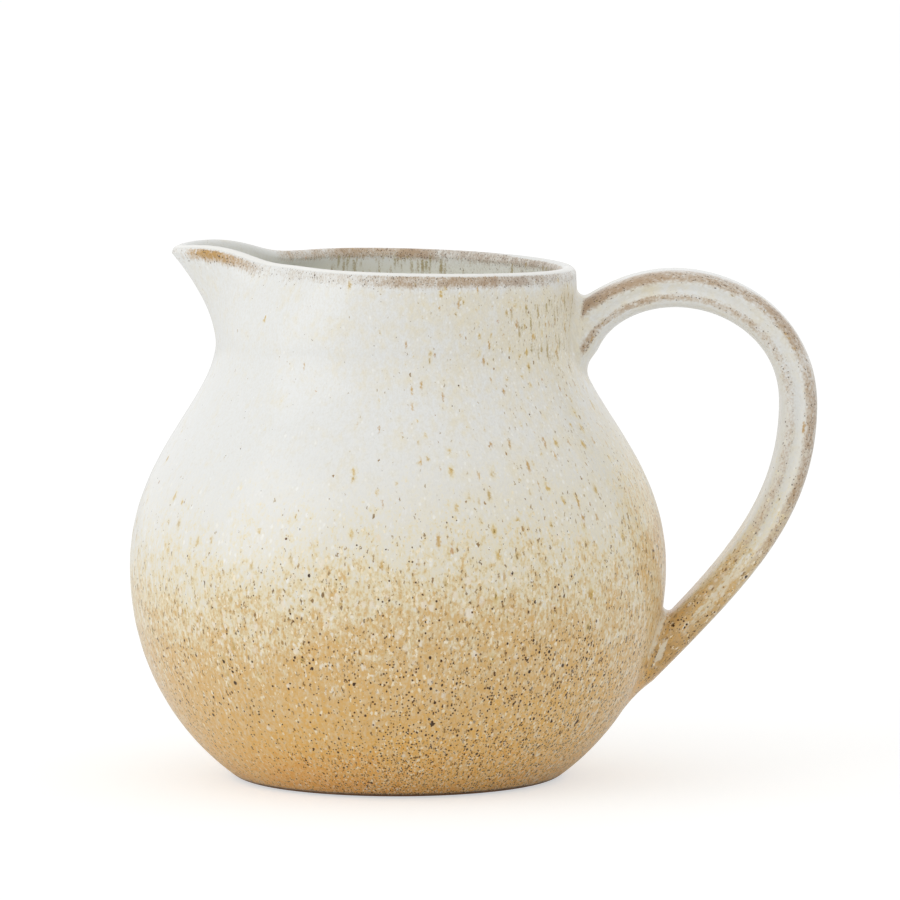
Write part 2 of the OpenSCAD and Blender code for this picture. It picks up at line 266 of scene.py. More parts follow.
# Meshes
def piece(name, grid, material, marks, ends="loop"):
    """A mesh of a grid of points in millimetres, closed round its columns. Its rows close on themselves
    as a loop, or its first and last rows are each drawn together to one point. Marks are arrays of three
    values a point."""
    rows, cols = grid.shape[:2]
    last_row = rows if ends == "loop" else rows - 1
    down, across = np.meshgrid(np.arange(last_row), np.arange(cols), indexing="ij")
    below = (down + 1) % rows
    beside = (across + 1) % cols
    corners = ((down, across), (down, beside), (below, beside), (below, across))
    quads = np.stack([d * cols + a for d, a in corners], -1).reshape(-1, 4)
    points = grid.reshape(-1, 3)
    values = {key: np.broadcast_to(value, grid.shape).reshape(-1, 3) for key, value in marks.items()}
    faces = quads.tolist()
    if ends == "poles":
        ring = np.arange(cols)
        onward = (ring + 1) % cols
        base = (rows - 1) * cols
        first = np.stack([onward, ring, np.full(cols, rows * cols)], -1)
        last = np.stack([base + ring, base + onward, np.full(cols, rows * cols + 1)], -1)
        faces += first.tolist() + last.tolist()
        points = np.vstack([points, grid[0].mean(0), grid[-1].mean(0)])
        values = {key: np.vstack([v, v[:cols].mean(0), v[-cols:].mean(0)]) for key, v in values.items()}
    mesh = bpy.data.meshes.new(name)
    mesh.from_pydata((points * MM).tolist(), [], faces)
    mesh.polygons.foreach_set("use_smooth", np.ones(len(faces), bool))
    for key, value in values.items():
        layer = mesh.attributes.new(key, "FLOAT_VECTOR", "POINT")
        layer.data.foreach_set("vector", value.astype(np.float32).ravel())
    mesh.materials.append(material)
    mesh.update()
    made = bpy.data.objects.new(name, mesh)
    bpy.context.scene.collection.objects.link(made)
    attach(made, "root")
    return made


def linear(code):
    """Linear colour of an sRGB hex code."""
    c = np.array([int(code[i:i + 2], 16) for i in (0, 2, 4)]) / 255
    return (*np.where(c <= 0.04045, c / 12.92, ((c + 0.055) / 1.055) ** 2.4).tolist(), 1.0)


def add(tree, kind, inputs=(), **settings):
    """Adds a node of a kind, gives it its settings, and fills its inputs, by name or number, with values
    or links."""
    made = tree.nodes.new("ShaderNode" + kind)
    for key, value in settings.items():
        setattr(made, key, value)
    for key, value in dict(inputs).items():
        if isinstance(value, bpy.types.NodeSocket):
            tree.links.new(value, made.inputs[key])
        else:
            made.inputs[key].default_value = value
    return made.outputs


# Glaze: a runny white over a honey glaze on speckled stoneware, dipped and fired till both ran into each
# other. The eye sees a satin white that clouds to cream, breaks into brown streaks and pale drops at the
# meeting, and goes over into a honey glaze full of iron specks. It is taupe where it ran thin, at the rim
# and along the strap's ridges.

# Fields of noise: size across in mm, how much longer they run downwards, and how many finer octaves
FIELDS = {
    "lobes": (20.0, 0.8, 2.0),
    "clouds": (7.0, 1.2, 3.0),
    "mottle": (1.6, 1.4, 3.0),
    "streak": (0.7, 2.2, 2.0),
    "grain": (0.45, 1.3, 2.0),
}

# How far each field stirs the two glazes into each other, in mm
STIRRING = {"lobes": 9.0, "clouds": 30.0, "mottle": 28.0, "streak": 36.0, "grain": 30.0}

# How far three of the fields tear the edges of the thin places, as a share of a whole coat
TEARING = {"streak": 0.5, "mottle": 0.5, "grain": 0.9}

# Colours from the honey foot up to the white neck, by height over the meeting of the glazes in mm. The
# honey deepens towards the foot; its lowest stops are painted lighter, as painted light bounced up from
# the table
HEIGHTS = (
    (-54, "E6AA4E"), (-40, "E7B660"), (-30, "E2B66C"), (-20, "DDB472"), (-10, "DAB67A"), (-3, "DBC090"),
    (2, "E2D1A8"), (7, "E8DDC0"), (13, "EAE5D4"), (21, "EBEAE4"), (30, "EBECEA"),
)

# Heights over the meeting, in mm, at which the white and the honey begin and are whole
WHITE_FROM = 2.0
WHITE_WHOLE = 18.0
HONEY_FROM = -2.0
HONEY_WHOLE = -20.0

# Colours of the clouds and curds in the coat, of the liner, and of the thin and thick places. The thick
# colours also paint sheen: a painted highlight on the near lip and a painted reflection along the pot's
# left and right edges
CREAM_CLOUD = "EBE3CC"
GREY_CURD = "DAD5C7"
CREAM_CURD = "F3E3C0"
# The liner's colours are painted lighter than the outer white: painted light that lifts the shade inside the
# pot
PAINTED_LIGHT_INSIDE_WHITE = "FCFCF4"
PAINTED_LIGHT_INSIDE_CREAM = "F1F0E2"
THIN_GREY = "CFC6B8"
BARE_TAUPE = "B09B88"
IRON_OCHRE = "BE9246"
THICK_CREAM_AND_SHEEN = "ECE3CC"
THICK_WHITE_AND_SHEEN = "F8F7F2"

# Flecks: size of the field's cells in mm, how much longer they run downwards, radius as a share of a
# cell, share of cells with a fleck in the white, the meeting, the honey, the thin places and the drips,
# two colours, strength, and softness of the edge
FLECKS = {
    "cream halos": (2.2, 1.9, 0.42, (0.60, 0.25, 0.00, 0.00, 0.00), "EBDCA8", "E8DAB4", 0.65, 1.3),
    "ochre flecks": (2.2, 1.9, 0.25, (0.58, 0.42, 0.05, 0.10, 0.00), "D0A94E", "B99A54", 0.85, 1.1),
    "olive cores": (2.2, 1.9, 0.10, (0.18, 0.25, 0.05, 0.10, 0.00), "86702E", "6A5628", 0.85, 0.8),
    "rust flecks": (3.4, 1.8, 0.12, (0.12, 0.20, 0.10, 0.30, 0.00), "C48F48", "A07A40", 0.80, 0.7),
    "ochre streaks": (1.3, 3.4, 0.33, (0.14, 0.06, 0.00, 0.05, 0.00), "CCA24C", "B88C3E", 0.85, 1.0),
    "grey dashes": (0.72, 2.4, 0.24, (0.31, 0.15, 0.00, 0.40, 0.00), "B59C68", "8E7446", 0.70, 0.7),
    "white curds": (0.90, 1.5, 0.36, (0.45, 0.20, 0.00, 0.00, 0.00), "FAFAF6", "F5F3EA", 0.65, 0.9),
    "olive drips": (1.1, 5.0, 0.60, (0.00, 0.00, 0.00, 0.00, 1.00), "A08C3C", "AE9250", 0.75, 1.1),
    "tan streaklets": (0.72, 2.4, 0.29, (0.03, 0.75, 0.55, 0.00, 0.00), "AE8852", "80602F", 0.80, 0.7),
    "brown streaklets": (0.66, 2.6, 0.29, (0.00, 0.45, 0.80, 0.00, 0.00), "8E6832", "5C3E1A", 0.85, 0.6),
    "cream streaklets": (0.72, 1.9, 0.36, (0.00, 1.00, 0.85, 0.00, 0.00), "FAEED4", "F1DFB8", 0.95, 0.7),
    "small pale drops": (1.6, 1.4, 0.32, (0.00, 0.60, 0.10, 0.00, 0.00), "F4EBDA", "EEE0C8", 0.80, 0.8),
    "pale drops": (3.0, 1.5, 0.25, (0.00, 0.70, 0.22, 0.00, 0.00), "F3EADA", "EEE2CC", 0.85, 1.0),
    "clay pinholes": (0.42, 1.2, 0.34, (0.00, 0.00, 0.00, 0.80, 0.00), "5A4632", "35261A", 0.80, 0.5),
    "pin specks": (0.60, 1.10, 0.32, (0.002, 0.06, 0.90, 0.03, 0.00), "60390F", "3E2508", 1.00, 0.5),
    "dark specks": (1.05, 1.30, 0.23, (0.00, 0.03, 0.75, 0.00, 0.00), "4E2D0C", "321C06", 1.00, 0.4),
    "iron spots": (3.5, 1.15, 0.11, (0.008, 0.10, 0.30, 0.40, 0.00), "452A10", "301C0C", 0.95, 0.4),
}

# Flecks that run longer than this are bent by noise, and their size starts at this share of their radius
TORN_FROM = 1.5
LEAST_FLECK = 0.45

# Height in metres of the orange peel in the glaze, and of the tooth of the bare clay
PEEL = 0.00006
TOOTH_H = 0.00008


def reactive_glaze(name):
    """The glaze as a stack of layers: a ramp of colours by height stirred by noise, then its clouds and
    curds, the thin places, each kind of fleck, and the thick places, whose colours also paint a highlight
    and a reflection. It reads the piece's own coordinates along its run, in millimetres, and its
    vertices' marks."""
    material = bpy.data.materials.new(name)
    material.use_nodes = True
    tree = material.node_tree
    tree.nodes.clear()
    flow = add(tree, "Attribute", attribute_name="flow")["Vector"]
    zone = add(tree, "Attribute", attribute_name="zone")["Vector"]
    rise, cream, inside = add(tree, "SeparateXYZ", {0: zone})
    marks = add(tree, "Attribute", attribute_name="marks")["Vector"]
    thin, warm, pool_and_sheen = add(tree, "SeparateXYZ", {0: marks})
    spread = add(tree, "Attribute", attribute_name="spread")["Vector"]
    flecked, specked, dripped = add(tree, "SeparateXYZ", {0: spread})
    field = {}
    for key, (size, run, octaves) in FIELDS.items():
        scale = (1 / size, 1 / size, 1 / size / run)
        at = add(tree, "VectorMath", {0: flow, 1: scale}, operation="MULTIPLY")[0]
        noise = {"Vector": at, "Scale": 1.0, "Detail": octaves, "Roughness": 0.55}
        field[key] = add(tree, "TexNoise", noise)[0]
    # Height over the meeting, stirred: the glazes meet in lobes, run down in streaks and mottle each other
    height = rise
    for key, reach in STIRRING.items():
        centred = add(tree, "Math", {0: field[key], 1: 0.5}, operation="SUBTRACT")[0]
        height = add(tree, "Math", {0: centred, 1: reach, 2: height}, operation="MULTIPLY_ADD")[0]
    low = HEIGHTS[0][0]
    high = HEIGHTS[-1][0]
    share = add(tree, "MapRange", {0: height, 1: low, 2: high})[0]
    ramp = add(tree, "ValToRGB", {0: share})
    stops = ramp[0].node.color_ramp.elements
    for at, _ in HEIGHTS[1:-1]:
        stops.new((at - low) / (high - low))
    for stop, (_, code) in zip(stops, HEIGHTS):
        stop.color = linear(code)
    colour = ramp[0]
    in_white = {0: height, 1: WHITE_FROM, 2: WHITE_WHOLE}
    in_white = add(tree, "MapRange", in_white, interpolation_type="SMOOTHSTEP")[0]
    in_honey = {0: height, 1: HONEY_FROM, 2: HONEY_WHOLE}
    in_honey = add(tree, "MapRange", in_honey, interpolation_type="SMOOTHSTEP")[0]
    not_white = add(tree, "Math", {0: 1.0, 1: in_white}, operation="SUBTRACT")[0]
    between = add(tree, "Math", {0: not_white, 1: in_honey}, operation="SUBTRACT")[0]
    deep = add(tree, "Math", {0: in_honey, 1: specked}, operation="MULTIPLY")[0]
    dense = add(tree, "Math", {0: flecked, 1: in_white}, operation="MULTIPLY")[0]
    bunched = add(tree, "MapRange", {0: field["clouds"], 1: 0.38, 2: 0.62, 3: 0.35, 4: 1.6})[0]
    dense = add(tree, "Math", {0: dense, 1: bunched}, operation="MULTIPLY")[0]
    # Cream clouds in the white, fine grey curds in it, cream curds below it, and a creamier white inside,
    # painted lighter than the outer white to lift the shade inside the pot
    cloudy = add(tree, "Math", {0: field["clouds"], 1: 0.9, 2: cream}, operation="MULTIPLY_ADD")[0]
    cloudy = add(tree, "Math", {0: field["mottle"], 1: 0.9, 2: cloudy}, operation="MULTIPLY_ADD")[0]
    cloudy = add(tree, "MapRange", {0: cloudy, 1: 1.0, 2: 1.65}, interpolation_type="SMOOTHSTEP")[0]
    cloudy = add(tree, "Math", {0: cloudy, 1: in_white}, operation="MULTIPLY")[0]
    colour = add(tree, "Mix", {0: cloudy, 6: colour, 7: linear(CREAM_CLOUD)}, data_type="RGBA")[2]
    curd = add(tree, "Math", {0: field["streak"], 1: field["grain"]}, operation="ADD")[0]
    curd = add(tree, "MapRange", {0: curd, 1: 0.8, 2: 1.2}, interpolation_type="SMOOTHSTEP")[0]
    grey = add(tree, "Math", {0: cream, 1: 0.62, 2: 0.12}, operation="MULTIPLY_ADD")[0]
    grey = add(tree, "Math", {0: grey, 1: in_white}, operation="MULTIPLY")[0]
    grey = add(tree, "Math", {0: grey, 1: curd}, operation="MULTIPLY")[0]
    colour = add(tree, "Mix", {0: grey, 6: colour, 7: linear(GREY_CURD)}, data_type="RGBA")[2]
    creamy = add(tree, "Math", {0: curd, 1: not_white}, operation="MULTIPLY")[0]
    creamy = add(tree, "Math", {0: creamy, 1: 0.32}, operation="MULTIPLY")[0]
    colour = add(tree, "Mix", {0: creamy, 6: colour, 7: linear(CREAM_CURD)}, data_type="RGBA")[2]
    # Liner: painted lighter white, standing in for light that the shaded inside does not get
    liner = {0: field["clouds"], 6: linear(PAINTED_LIGHT_INSIDE_WHITE), 7: linear(PAINTED_LIGHT_INSIDE_CREAM)}
    liner = add(tree, "Mix", liner, data_type="RGBA")[2]
    colour = add(tree, "Mix", {0: inside, 6: colour, 7: liner}, data_type="RGBA")[2]
    # Thin places: warm grey where the coat breaks, taupe where it is gone, ochre where the iron came through
    patchy = add(tree, "MapRange", {0: field["clouds"], 1: 0.3, 2: 0.7, 3: 0.75, 4: 1.3})[0]
    ragged = add(tree, "Math", {0: thin, 1: patchy}, operation="MULTIPLY")[0]
    for key, reach in TEARING.items():
        centred = add(tree, "Math", {0: field[key], 1: 0.5}, operation="SUBTRACT")[0]
        ragged = add(tree, "Math", {0: centred, 1: reach, 2: ragged}, operation="MULTIPLY_ADD")[0]
    broken = add(tree, "MapRange", {0: ragged, 1: 0.10, 2: 0.85}, interpolation_type="SMOOTHSTEP")[0]
    gone = add(tree, "MapRange", {0: ragged, 1: 0.35, 2: 1.1}, interpolation_type="SMOOTHSTEP")[0]
    taupe = add(tree, "Mix", {0: gone, 6: linear(THIN_GREY), 7: linear(BARE_TAUPE)}, data_type="RGBA")[2]
    taupe = add(tree, "Mix", {0: warm, 6: taupe, 7: linear(IRON_OCHRE)}, data_type="RGBA")[2]
    colour = add(tree, "Mix", {0: broken, 6: colour, 7: taupe}, data_type="RGBA")[2]
    whole = add(tree, "Math", {0: 1.0, 1: broken}, operation="SUBTRACT")[0]
    dense = add(tree, "Math", {0: dense, 1: whole}, operation="MULTIPLY")[0]
    # Flecks of each kind, in cells of their own size
    stirred = add(tree, "TexNoise", {"Vector": flow, "Scale": 1.6, "Detail": 1.0})["Color"]
    stirred = add(tree, "VectorMath", {0: stirred, 1: (0.5, 0.5, 0.5)}, operation="SUBTRACT")[0]
    bent = add(tree, "VectorMath", {0: stirred, 1: (0.8, 0.8, 1.2), 2: flow}, operation="MULTIPLY_ADD")[0]
    uneven = add(tree, "Math", {0: field["grain"], 1: 0.5}, operation="SUBTRACT")[0]
    for cell, run, radius, shares, first, second, strength, soft in FLECKS.values():
        torn = bent if run > TORN_FROM else flow
        scale = (1 / cell, 1 / cell, 1 / cell / run)
        at = add(tree, "VectorMath", {0: torn, 1: scale}, operation="MULTIPLY")[0]
        cells = add(tree, "TexVoronoi", {"Vector": at, "Scale": 1.0, "Randomness": 1.0})
        pick, grow, hue = add(tree, "SeparateColor", {0: cells["Color"]})
        kept = 0.0
        for place, part in zip((dense, between, deep, broken, dripped), shares):
            kept = add(tree, "Math", {0: place, 1: part, 2: kept}, operation="MULTIPLY_ADD")[0]
        kept = add(tree, "Math", {0: pick, 1: kept}, operation="LESS_THAN")[0]
        reach = add(tree, "Math", {0: grow, 1: radius, 2: radius * LEAST_FLECK}, operation="MULTIPLY_ADD")[0]
        left = add(tree, "Math", {0: reach, 1: cells["Distance"]}, operation="SUBTRACT")[0]
        left = add(tree, "Math", {0: uneven, 1: radius, 2: left}, operation="MULTIPLY_ADD")[0]
        spot = add(tree, "MapRange", {0: left, 1: 0.0, 2: radius * soft}, interpolation_type="SMOOTHSTEP")[0]
        spot = add(tree, "Math", {0: spot, 1: kept}, operation="MULTIPLY")[0]
        spot = add(tree, "Math", {0: spot, 1: strength}, operation="MULTIPLY")[0]
        tint = add(tree, "Mix", {0: hue, 6: linear(first), 7: linear(second)}, data_type="RGBA")[2]
        colour = add(tree, "Mix", {0: spot, 6: colour, 7: tint}, data_type="RGBA")[2]
    # Thick places: milky cream, in streaks where it is only a little thicker. The same colours paint a
    # highlight on the near lip and a reflection along the pot's left and right edges
    thick_and_sheen = add(tree, "Math", {0: field["streak"], 1: 1.6, 2: pool_and_sheen}, operation="MULTIPLY_ADD")[0]
    thick_and_sheen = add(tree, "MapRange", {0: thick_and_sheen, 1: 0.9, 2: 1.5, 4: 0.85}, interpolation_type="SMOOTHSTEP")[0]
    thick_and_sheen_colour = {0: in_white, 6: linear(THICK_CREAM_AND_SHEEN), 7: linear(THICK_WHITE_AND_SHEEN)}
    thick_and_sheen_colour = add(tree, "Mix", thick_and_sheen_colour, data_type="RGBA")[2]
    colour = add(tree, "Mix", {0: thick_and_sheen, 6: colour, 7: thick_and_sheen_colour}, data_type="RGBA")[2]
    # Satin gloss, uneven as the colours are, and a faint orange peel
    rough = add(tree, "MapRange", {0: field["mottle"], 1: 0.3, 2: 0.7, 3: 0.28, 4: 0.40})[0]
    peel = add(tree, "Math", {0: field["grain"], 1: 0.25, 2: field["mottle"]}, operation="MULTIPLY_ADD")[0]
    normal = add(tree, "Bump", {"Height": peel, "Strength": 1.0, "Distance": PEEL})[0]
    satin = {"Base Color": colour, "Roughness": rough, "IOR": 1.5, "Specular IOR Level": 0.25,
             "Normal": normal, "Coat Weight": 0.4, "Coat Roughness": 0.15}
    shader = add(tree, "BsdfPrincipled", satin)
    add(tree, "OutputMaterial", {0: shader[0]})
    return material


# Clay: stoneware turned on the wheel, unglazed and fired brown, with fine grog and iron specks. The eye
# sees a matt, dry brown with turning lines round the foot.

# Sizes in the clay in mm: clouds of colour, grains of grog, tooth of the surface, and lines of the
# turning tool
CLAY_CLOUD = 4.0
GROG = 0.9
TOOTH = 0.35
TOOL_LINE = 0.9

# Share of the grains of grog that show
GROG_SHOWS = 0.3


def turned_stoneware(name):
    """Brown clay mottled by noise, with dark and pale specks of grog and the turning tool's rings along
    its run."""
    material = bpy.data.materials.new(name)
    material.use_nodes = True
    tree = material.node_tree
    tree.nodes.clear()
    place = add(tree, "TexCoord")["Object"]
    flow = add(tree, "Attribute", attribute_name="flow")["Vector"]
    clouds = {"Vector": place, "Scale": 1 / (CLAY_CLOUD * MM), "Detail": 4.0, "Roughness": 0.6}
    mottle = add(tree, "TexNoise", clouds)[0]
    grog = add(tree, "TexVoronoi", {"Vector": place, "Scale": 1 / (GROG * MM)})
    pick = add(tree, "SeparateColor", {0: grog["Color"]})
    speck = add(tree, "MapRange", {0: grog["Distance"], 1: 0.32, 2: 0.2})[0]
    some = add(tree, "Math", {0: pick[0], 1: GROG_SHOWS}, operation="LESS_THAN")[0]
    speck = add(tree, "Math", {0: speck, 1: some}, operation="MULTIPLY")[0]
    along = add(tree, "SeparateXYZ", {0: flow})[2]
    rings = add(tree, "Math", {0: along, 1: 2 * np.pi / TOOL_LINE}, operation="MULTIPLY")[0]
    rings = add(tree, "Math", {0: rings}, operation="SINE")[0]
    worn = add(tree, "Math", {0: rings, 1: 0.12, 2: mottle}, operation="MULTIPLY_ADD")[0]
    colour = add(tree, "Mix", {0: worn, 6: linear("7E5A40"), 7: linear("A67F5C")}, data_type="RGBA")[2]
    tint = add(tree, "Mix", {0: pick[1], 6: linear("3A271B"), 7: linear("B99770")}, data_type="RGBA")[2]
    colour = add(tree, "Mix", {0: speck, 6: colour, 7: tint}, data_type="RGBA")[2]
    tooth = add(tree, "TexNoise", {"Vector": place, "Scale": 1 / (TOOTH * MM), "Detail": 2.0})[0]
    tooth = add(tree, "Math", {0: rings, 1: 0.35, 2: tooth}, operation="MULTIPLY_ADD")[0]
    normal = add(tree, "Bump", {"Height": tooth, "Strength": 1.0, "Distance": TOOTH_H})[0]
    shader = add(tree, "BsdfPrincipled", {"Base Color": colour, "Roughness": 0.85, "Normal": normal})
    add(tree, "OutputMaterial", {0: shader[0]})
    return material


GLAZED = reactive_glaze("reactive_white_over_honey_glaze")
CLAY = turned_stoneware("turned_bare_stoneware")

# Radius in mm of the cylinder on which the pattern of the pot's glaze is rolled out
FLOW_R = 50.0

# How far off in mm the strap's pattern is taken, so that it is not the pot's
STRAP_PATTERN = 200.0

# Height in mm at which the glazes meet at the spout, how much higher they meet from the sides on, and a
# little more on the way to the handle
MEETING_Z = 38.0
MEETING_CLIMB = 6.0
MEETING_HUMP = 1.5

# Height over the meeting that stands for white inside, and how far the honey deepens at the near foot and
# climbs on the wall behind the handle, in mm
ALL_WHITE = 60.0
FOOT_HONEY = 12.0
BACK_HONEY = 15.0

# Radius in mm at which the clay's line stops short of the axis, where it is drawn together to a point
POLE_R = 0.3


# Pot
def clay_pot():
    """Clay under the coats: the underside with its hollow, the foot arc, then the outside, the lip and
    the inside of the glaze moved in by the coat, each a line in radius and height carried round the axis."""
    under = np.array([[POLE_R, HOLLOW_H], [HOLLOW_R - 2.4, HOLLOW_H], [HOLLOW_R - 1.2, HOLLOW_H - 0.3],
                      [HOLLOW_R - 0.3, 0.25], [HOLLOW_R + 0.4, 0.0], [FOOT_R, 0.0]])
    bare = OUTSIDE[OUTSIDE[:, 1] < GLAZE_FOOT_Z]
    outer = offset(OUTSIDE, -CLAY_DEPTH)
    outer = outer[outer[:, 1] > GLAZE_FOOT_Z + 0.2]
    inner = offset(INSIDE, CLAY_DEPTH)[::-1]
    inner = inner[inner[:, 0] > POLE_R]
    line = np.vstack([spaced(under, 60)[:-1], spaced(bare, 14), spaced(outer, 60)[:-1],
                      lip_line(CLAY_DEPTH)[::-6], spaced(inner, 60)])
    grid = pot_surface(line[:, :1], line[:, 1:], AROUND)
    along = lengths(line)[:, None] + 0 * AROUND
    flow = np.stack([grid[..., 0], grid[..., 1], along], -1)
    made = piece("thrown_pot", grid, CLAY, {"flow": flow}, ends="poles")
    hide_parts("pot")


def glaze_run():
    """The glazed face as one line from the middle of the floor over the lip to the foot, with the row
    where the coats meet, the row on top of the lip, and the run of the glaze along it: the line is rolled
    out to a cylinder of one radius, and its length grows as that radius over its own."""
    inside = spaced(INSIDE, INSIDE_ROWS)
    cut = int(np.argmax(inside[:, 1] > RIM[1] - LIP_RUN))
    seam = inside[cut] + np.array([[-0.04], [0.0], [0.04]]) * (inside[cut + 1] - inside[cut])
    outside = OUTSIDE[OUTSIDE[:, 1] > GLAZE_FOOT_Z][::-1]
    line = np.vstack([inside[:cut], seam, inside[cut + 1:-1], spaced(lip_line(0), LIP_ROWS)[:-1],
                      spaced(outside, OUTSIDE_ROWS)])
    top = INSIDE_ROWS + LIP_ROWS // 2
    r = np.maximum(line[:, 0], 1e-6)
    rolled = np.minimum(np.maximum.accumulate(r), FLOW_R)
    step = np.linalg.norm(np.diff(line, axis=0, prepend=line[:1]), axis=1)
    floor_step = np.sqrt(np.maximum(step ** 2 - np.gradient(rolled) ** 2, 0))
    rise = np.where(rolled < FLOW_R, floor_step, step * FLOW_R / r)
    return line, cut + 1, top, rolled, np.cumsum(rise)


def pot_marks(line, top, rolled, run):
    """Marks of the glazed face, as smooth steps, bands and bell curves of the height in mm, of the way
    past the top of the lip in mm, and of the angle from the spout in degrees. Flow: coordinates along the
    run. Zone: height over the meeting, cream and inside. Marks: thin, warm, and thick, which here is a
    painted highlight on the near lip and thick coat that is also a painted reflection along the pot's left
    and right edges. Spread: shares of flecks, specks and drips."""
    turn = AROUND + 0 * line[:, :1]
    z = line[:, 1:] + 0 * turn
    s = lengths(line)
    past = (s - s[top])[:, None] + 0 * turn
    outdoors = past > 0
    bearing = np.degrees(turn)
    near_side = np.degrees((turn + np.pi) % (2 * np.pi) - np.pi)
    off_spout = np.abs(near_side)
    to_handle = -np.cos(turn)
    rolled = rolled[:, None]
    flow = np.stack([-rolled * np.cos(turn), -rolled * np.sin(turn), -run[:, None] + 0 * turn], -1)
    # Height over the meeting
    meeting = MEETING_Z + MEETING_CLIMB * ease(to_handle, -0.85, -0.15)
    meeting = meeting + MEETING_HUMP * bell(to_handle, 0.45, 0.3)
    rise = np.where(past < 0, ALL_WHITE, z - meeting)
    rise = rise - FOOT_HONEY * ease(z, 20, 4) * bell(bearing, 60, 40)
    rise = rise - BACK_HONEY * ease(to_handle, 0.78, 0.97) * band(z, 36, 52, 72, 92) * outdoors
    # Cream in the white, more towards the handle, at the neck, and beside the upper root
    beside_root = bell(off_spout, 153, 22, 4) * band(z, 88, 97, 105, 110)
    under_lip = ease(past, 3.0, 6.0)
    cream = 0.1 + (0.35 * ease(to_handle, -0.8, 0.9) + 0.1 * ease(z, 82, 108)) * under_lip + 0.3 * beside_root
    indoors = ease(-past, 1.0, 7.0)
    # Flecks in the white, more towards the handle, at the neck, beside the upper root and near the meeting
    flecks = 0.08 + 1.4 * ease(to_handle, -0.35, 0.8) + 0.5 * ease(z, 85, 105) * ease(to_handle, -0.2, 0.6)
    flecks = flecks + 3.0 * beside_root + 0.7 * ease(z, 72, 56)
    flecks = np.where(outdoors, flecks, 0.15 * ease(-past, 12, 20))
    # Specks in the honey, more towards the handle and at the foot, and fewer where it is golden
    golden = bell(bearing, 54, 36) * ease(z, 38, 24)
    specks = 0.85 + 0.25 * ease(to_handle, 0.0, 0.8) - 0.6 * golden
    specks = specks + 0.9 * ease(z, 18, 6) * ease(to_handle, -0.7, 0.1)
    # Drips below the rim inside, away from the spout, and beside the upper root
    drips = band(past, -13.0, -8.0, -3.2, -2.0) * ease(off_spout, 58, 70)
    drips = drips * (0.3 + 0.7 * ease(off_spout, 112, 98)) + 0.6 * beside_root * outdoors
    # Thin coat: outside the rim, inside it, in a patch beside the spout's tip, and at its end on the foot
    level = 0.25 + 0.15 * ease(off_spout, 35, 60) + 0.35 * ease(off_spout, 75, 95)
    level = level - 0.3 * ease(off_spout, 130, 160)
    rim_out = band(past, 1.3, 1.8, 3.2, 5.4) * level
    far_end = ease(off_spout, 118, 142)
    rim_in = (0.72 - 0.34 * ease(off_spout, 92, 112)) * ease(past, -3.5, -2.5)
    rim_in = rim_in + (0.22 * ease(off_spout, 85, 110) + 0.12 * far_end) * ease(past, -9.0, -6.0)
    rim_in = rim_in * ease(past + 1.3 * far_end, 0.4, -0.1) * ease(off_spout, 28, 36)
    rim_in = rim_in * (0.7 + 0.3 * ease(off_spout, 40, 70))
    patch = band(past, 1.3, 2.2, 3.0, 5.2) * bell(near_side, 20, 14, 4)
    foot = ease(s[-1] - s, 1.0, 0.2)[:, None] + 0 * turn
    thin = np.maximum.reduce([rim_out, rim_in, 0.7 * patch, foot])
    # Warm thin coat: the patch, the foot, and the rim at the sides
    brown = np.where(outdoors, 0.2 * band(off_spout, 70, 95, 115, 135), 0.3 * ease(off_spout, 110, 90))
    warm = np.clip(patch * ease(near_side, 36, 12) + 0.6 * foot + brown, 0, 1)
    # Thick coat at the spout and the handle, from a little above the meeting down, which is also a painted
    # reflection along the pot's left and right edges, and a painted highlight on the near lip
    # Pale thick coat at the spout and the handle, also a painted reflection along the pot's left and right
    # edges as the camera sees them
    pale = 0.18 * ease(to_handle, 0.3, 0.9) + 0.15 * ease(-to_handle, 0.7, 1.0)
    # Painted highlight: the near lip is painted thick white, standing in for light from above
    lip_highlight = 0.8 * band(past, -0.6, 0.0, 1.2, 1.6) * (near_side > 0)
    pool_and_sheen = np.where(past < -1, 0.0, pale * ease(meeting + 12 - z, 0.0, 10.0) + lip_highlight)
    return {
        "flow": flow,
        "zone": np.stack([rise, cream, indoors], -1),
        "marks": np.stack([thin, warm, pool_and_sheen], -1),
        "spread": np.stack([flecks, specks, drips], -1),
    }


def glaze_coats():
    """The outer coat, from a little way inside the lip to the foot, and the liner below it, each the
    glazed face and the same face moved back by the coat's thickness, joined to a closed skin."""
    line, cut, top, rolled, run = glaze_run()
    marks = pot_marks(line, top, rolled, run)
    back = offset(line, GLAZE)
    behind = np.arange(len(line) - 1, cut - 1, -BACK_STEP)
    rows = np.concatenate([np.arange(cut, len(line)), behind])[::-1]
    skin = np.vstack([line[cut:], back[behind]])[::-1]
    grid = pot_surface(skin[:, :1], skin[:, 1:], AROUND)
    shown = {key: value[rows] for key, value in marks.items()}
    outer = piece("outer_glaze_coat", grid, GLAZED, shown)
    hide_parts("white_glaze", "honey_glaze")
    behind = np.arange(cut, 0, -BACK_STEP)
    rows = np.concatenate([np.arange(1, cut + 1), behind])[::-1]
    skin = np.vstack([line[1:cut + 1], back[behind]])[::-1]
    grid = pot_surface(skin[:, :1], skin[:, 1:], AROUND)
    shown = {key: value[rows] for key, value in marks.items()}
    liner = piece("liner_glaze_coat", grid, GLAZED, shown, ends="poles")
    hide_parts("liner_glaze")


# Handle
UPPER = np.array([even_radius(UPPER_Z) - UPPER_SUNK, UPPER_Z])
UPPER_DIR = np.array([np.cos(UPPER_SLOPE), np.sin(UPPER_SLOPE)])
OUTERMOST = np.array([NECK[0] + HANDLE_SPAN - STRAP_T / 2, HANDLE_Z])
LOWER = np.array([even_radius(LOWER_Z) - LOWER_SUNK, LOWER_Z])
LOWER_DIR = -np.array([np.cos(LOWER_SLOPE), np.sin(LOWER_SLOPE)])


